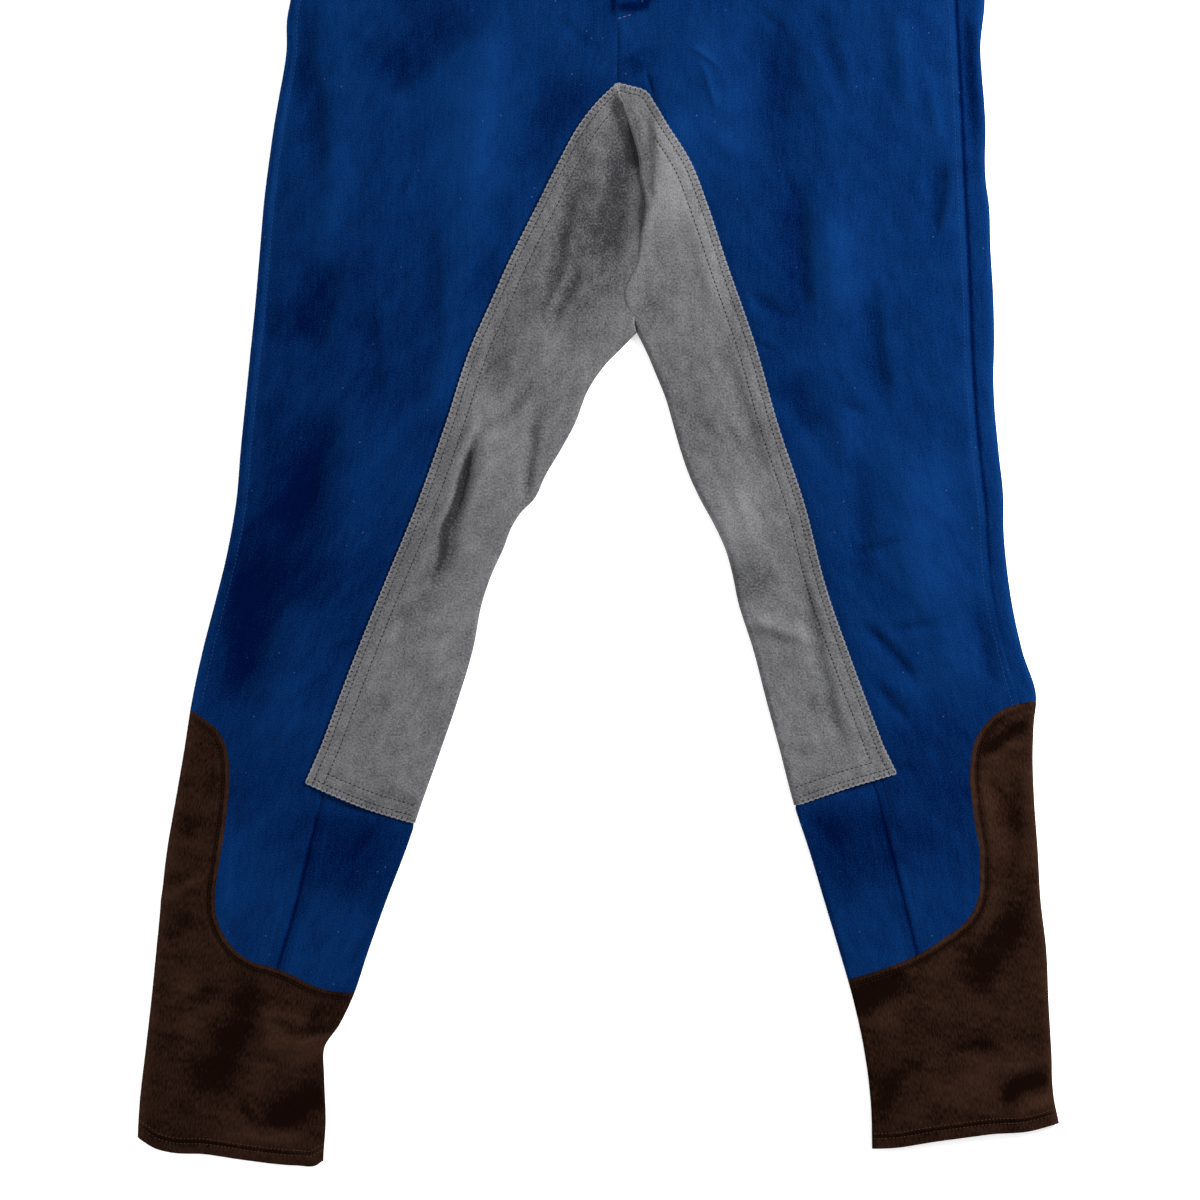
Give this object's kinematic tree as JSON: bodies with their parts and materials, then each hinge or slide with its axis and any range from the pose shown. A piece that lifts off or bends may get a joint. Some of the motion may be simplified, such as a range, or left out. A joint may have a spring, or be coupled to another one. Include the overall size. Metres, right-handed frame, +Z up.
{
  "type": "riding breeches",
  "caption": "Riding breeches laid flat: blue cotton drill with grey suede inner-leg and seat patches, elastic brown cuffs, fly front and buttoned waistband.",
  "frame": {"origin": "middle of the laid-out garment's outline, at the height of the surface that it lies on", "axes": "+Y from the hems to the waist, +Z up off the surface, +X towards the wearer's left side"},
  "size_m": [0.6438, 1.032, 0.0133],
  "materials": {
    "drill": "blue cotton drill, matt, with faint upright streaks",
    "suede": "grey suede, napped",
    "jersey": "dark brown elastic jersey, slight sheen",
    "button": "dark blue, satin"
  },
  "bodies": {
    "root": {"waistband_right": "drill", "waistband_left": "drill", "waist_button": "button", "front_right": "drill", "front_left": "drill", "back_right": "drill", "back_left": "drill", "seat_patch_right": "suede", "seat_patch_left": "suede", "cuff_right": "jersey", "cuff_left": "jersey"}
  },
  "joints": []
}
